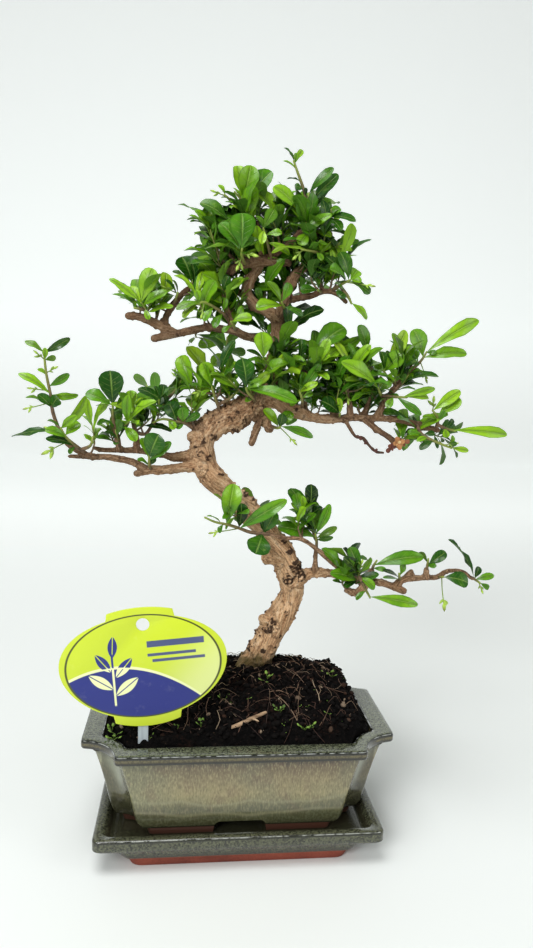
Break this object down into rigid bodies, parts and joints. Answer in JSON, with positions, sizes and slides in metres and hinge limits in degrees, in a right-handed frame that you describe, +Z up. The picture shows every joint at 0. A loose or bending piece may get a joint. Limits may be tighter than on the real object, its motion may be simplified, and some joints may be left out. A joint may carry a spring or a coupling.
{
  "type": "fukien tea bonsai tree",
  "caption": "Fukien tea bonsai: a curved trunk with tiers of small glossy leaves in a rectangular glazed pot with scooped corners, on a saucer, with an oval label on a stake.",
  "frame": {"origin": "on the flat underside of the saucer, below the middle of the pot", "axes": "+Z up along the tree's height, +X to the right along the pot's long side, -Y towards the viewer of the pot's front"},
  "size_m": [0.2406, 0.0977, 0.3363],
  "materials": {
    "saucer_glaze": "satin",
    "glaze": "gloss",
    "mesh": "matte",
    "soil": "matte",
    "bark": "matte",
    "leaf": "satin",
    "label": "satin",
    "stake": "satin",
    "dead_wood": "matte"
  },
  "bodies": {
    "root": {"saucer": "saucer_glaze", "pot": "glaze", "drain_mesh": "mesh", "soil": "soil", "trunk": "bark", "label_plate": "label", "label_stake": "stake", "dead_twig": "dead_wood", "shoot_lower_front": "leaf", "shoot_lower_twig": "leaf", "shoot_lower_cluster": "leaf", "shoot_lower_knuckle": "leaf", "shoot_lower_elbow": "leaf", "shoot_lower_outer": "leaf", "shoot_lower_tip": "leaf", "shoot_lower_round": "leaf", "shoot_left_tower": "leaf", "shoot_left_low": "leaf", "shoot_left_mid": "leaf", "shoot_left_fork": "leaf", "shoot_left_inner": "leaf", "shoot_left_front": "leaf", "shoot_arm_left": "leaf", "shoot_arm_mid": "leaf", "shoot_arm_high": "leaf", "shoot_arm_high_in": "leaf", "shoot_arm_in": "leaf", "shoot_arm_oval": "leaf", "shoot_top_left": "leaf", "shoot_far_left": "leaf", "shoot_front_pair": "leaf", "shoot_crown_heart": "leaf", "shoot_crown_blade": "leaf", "shoot_top_sprig": "leaf", "shoot_right_high": "leaf", "shoot_right_front": "leaf", "shoot_right_side": "leaf", "shoot_right_dark": "leaf", "shoot_under_right": "leaf", "shoot_under": "leaf", "shoot_pad_high_left": "leaf", "shoot_pad_high_mid": "leaf", "shoot_pad_high_right": "leaf", "shoot_pad_outer": "leaf", "shoot_pad_pale": "leaf", "shoot_pad_out": "leaf", "shoot_pad_low": "leaf", "shoot_pad_teal": "leaf", "shoot_pad_inner": "leaf", "shoot_pad_inner_right": "leaf", "shoot_mid_front": "leaf", "shoot_mid_trunk": "leaf", "shoot_mid_left": "leaf", "shoot_mid_low": "leaf", "shoot_back_low": "leaf", "shoot_back_left": "leaf", "shoot_back_heart": "leaf", "shoot_back_pad": "leaf", "shoot_back_crown": "leaf", "shoot_back_crown_right": "leaf"}
  },
  "joints": []
}
